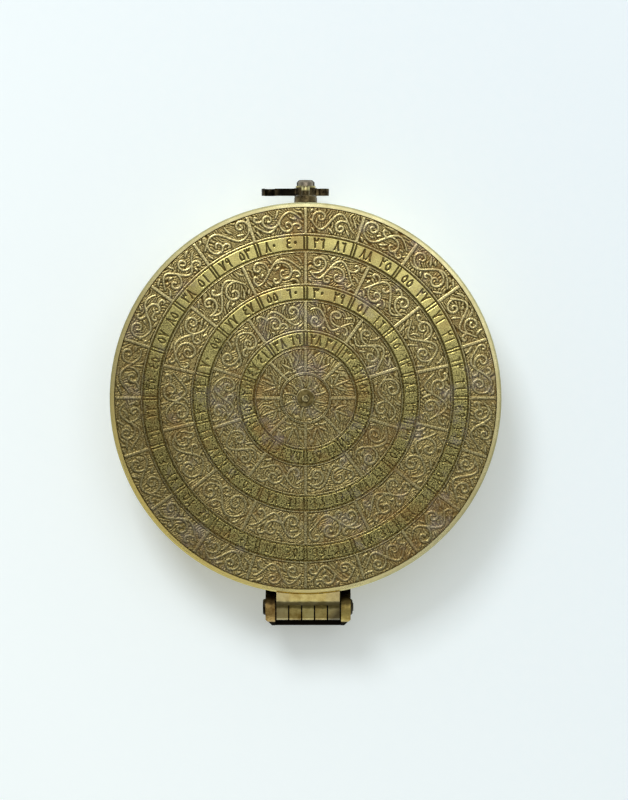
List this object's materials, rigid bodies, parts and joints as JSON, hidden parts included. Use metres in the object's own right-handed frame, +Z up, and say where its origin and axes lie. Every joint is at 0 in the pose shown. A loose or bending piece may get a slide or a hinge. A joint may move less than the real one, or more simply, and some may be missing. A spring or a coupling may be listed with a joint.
{
  "type": "qibla compass",
  "caption": "Round brass pocket compass box with a hinged engraved lid, a swinging hook clasp, and a needle under glass with a direction pointer in the lid.",
  "frame": {"origin": "centre of the circle that the box stands on, under the base band", "axes": "+Z up through the lid, +Y towards the clasp, -Y towards the hinge, +X to the right in the picture"},
  "size_m": [0.078, 0.0893, 0.0184],
  "materials": {
    "engraved_brass": "hand engraved, aged brown patina in the cut ground, rubbed bright on top",
    "polished_brass": "turned and polished, lightly tarnished",
    "hinge_brass": "filed by hand, warm brown tarnish",
    "clasp_brass": "blackened by age, bright where it rubs",
    "dial_brass": "smooth engraved dial, protected from handling",
    "blued_steel": "tempered blue",
    "bright_steel": "ground steel",
    "clear_glass": "flat polished glass"
  },
  "bodies": {
    "base": {"base_band": "polished_brass", "base_floor": "polished_brass", "dial_ledge": "dial_brass", "dial_plate": "dial_brass", "closing_ring": "polished_brass", "compass_cup": "dial_brass", "compass_rose": "dial_brass", "needle_post": "bright_steel", "compass_glass": "clear_glass", "glass_ring": "polished_brass", "hinge_base_leaf": "hinge_brass", "hinge_cheek_left": "hinge_brass", "hinge_cheek_right": "hinge_brass", "hinge_pin": "clasp_brass", "hinge_pin_burr": "clasp_brass", "clasp_boss": "clasp_brass", "clasp_pivot": "clasp_brass", "clasp_washer": "clasp_brass"},
    "lid": {"lid_band": "polished_brass", "lid_plate": "engraved_brass", "hinge_lid_leaf": "polished_brass", "catch_stud": "clasp_brass", "lid_rivet": "clasp_brass", "lid_rivet_washer": "engraved_brass", "pointer_washer": "polished_brass"},
    "hook": {"clasp_hook": "clasp_brass"},
    "needle": {"compass_needle": "blued_steel", "needle_cap": "dial_brass"},
    "pointer": {"qibla_pointer": "dial_brass"}
  },
  "joints": [
    {"name": "lid_hinge", "type": "hinge", "parent": "base", "child": "lid", "pos_m": [0.0005, -0.04175, 0.01305], "axis": [1, 0, 0], "range_deg": [0, 140]},
    {"name": "hook_swing", "type": "hinge", "parent": "base", "child": "hook", "pos_m": [0, 0.0414, 0.0083], "axis": [0, 1, 0], "range_deg": [-60, 90]},
    {"name": "needle_spin", "type": "hinge", "parent": "base", "child": "needle", "pos_m": [0, 0, 0.007], "axis": [0, 0, 1], "continuous": true},
    {"name": "pointer_turn", "type": "hinge", "parent": "lid", "child": "pointer", "pos_m": [0, 0, 0.0166], "axis": [0, 0, 1], "continuous": true}
  ]
}
